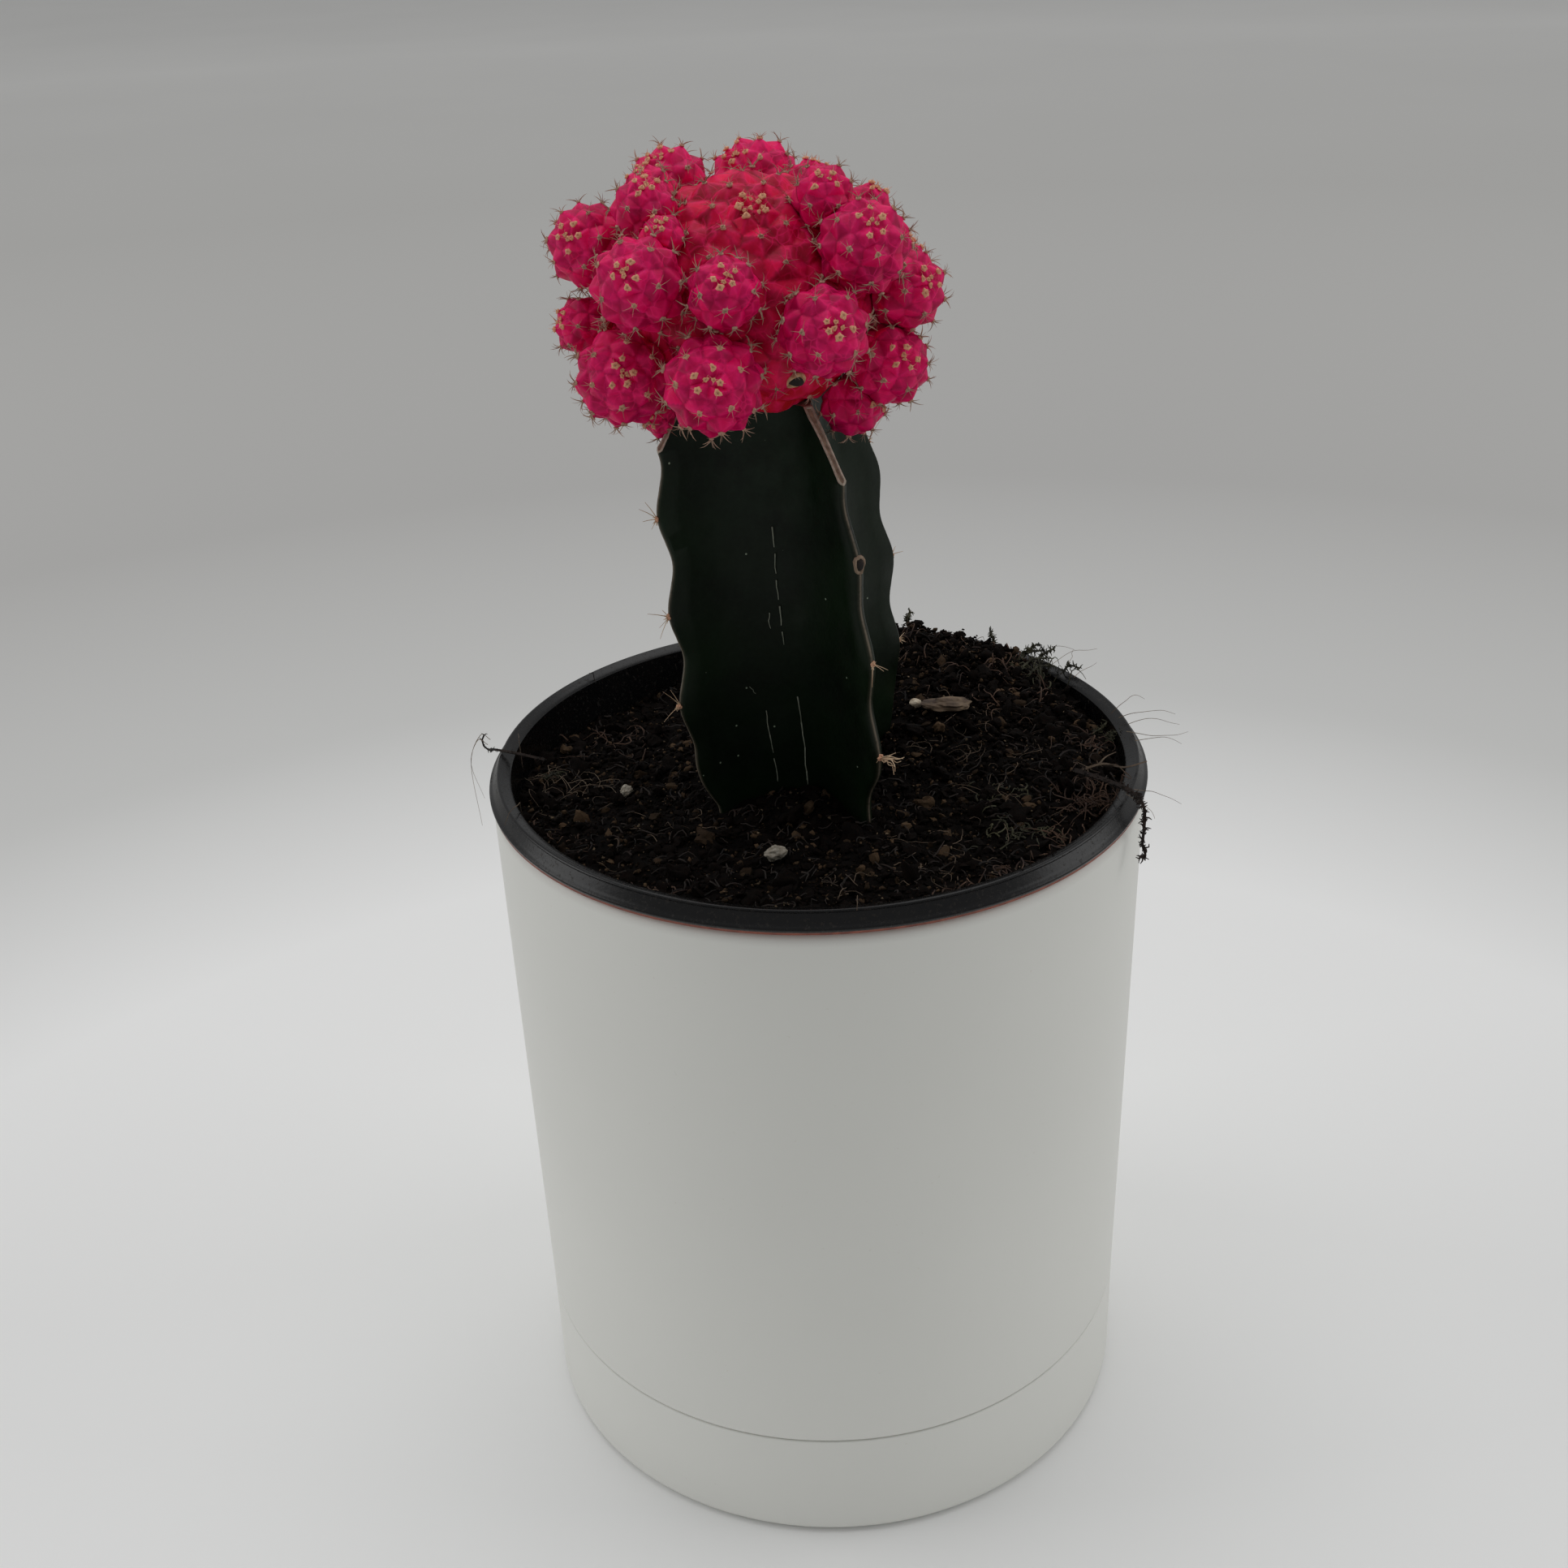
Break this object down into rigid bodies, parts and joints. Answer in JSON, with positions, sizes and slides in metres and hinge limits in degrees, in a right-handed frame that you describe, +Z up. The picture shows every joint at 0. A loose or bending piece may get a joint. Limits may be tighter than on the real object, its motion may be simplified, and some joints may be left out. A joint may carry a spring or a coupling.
{
  "type": "potted grafted cactus",
  "caption": "Potted moon cactus: a pink globular scion with offsets grafted on a green ribbed stock, in a nursery pot inside a white planter with a flush drip saucer.",
  "frame": {"origin": "centre of the saucer's flat underside, on the surface that the planter stands on", "axes": "+Z up along the planter's axis, -Y towards the front, +X to the right seen from the front"},
  "size_m": [0.1243, 0.1218, 0.2464],
  "materials": {
    "planter_white": "satin",
    "nursery_black": "satin",
    "peat": "matte",
    "stock_green": "satin",
    "scion_red": "satin",
    "scion_pink": "satin",
    "perlite": "matte",
    "bark": "matte",
    "plant_fibre": "matte"
  },
  "bodies": {
    "root": {"drip_saucer": "planter_white", "planter_shell": "planter_white", "nursery_pot": "nursery_black", "potting_soil": "peat", "rootstock": "stock_green", "scion_mother": "scion_red", "scion_offset_01": "scion_pink", "scion_offset_02": "scion_pink", "scion_offset_03": "scion_pink", "scion_offset_04": "scion_pink", "scion_offset_05": "scion_pink", "scion_offset_06": "scion_pink", "scion_offset_07": "scion_pink", "scion_offset_08": "scion_pink", "scion_offset_09": "scion_pink", "scion_offset_10": "scion_pink", "scion_offset_11": "scion_pink", "scion_offset_12": "scion_pink", "scion_offset_13": "scion_pink", "scion_offset_14": "scion_pink", "scion_offset_15": "scion_pink", "scion_offset_16": "scion_pink", "scion_offset_17": "scion_pink", "scion_offset_18": "scion_pink", "scion_offset_19": "scion_pink", "scion_offset_20": "scion_pink", "scion_offset_21": "scion_pink", "scion_offset_22": "scion_pink", "scion_offset_23": "scion_pink", "scion_offset_24": "scion_pink", "scion_offset_25": "scion_pink", "scion_offset_26": "scion_pink", "scion_offset_27": "scion_pink", "scion_offset_28": "scion_pink", "scion_offset_29": "scion_pink", "scion_offset_30": "scion_pink", "scion_offset_31": "scion_pink", "scion_offset_32": "scion_pink", "perlite_grain_front": "perlite", "perlite_grain_left": "perlite", "bark_chip": "bark", "pebble": "perlite", "moss_strand_right": "plant_fibre", "twig_right": "plant_fibre", "root_strand_left": "plant_fibre"}
  },
  "joints": []
}
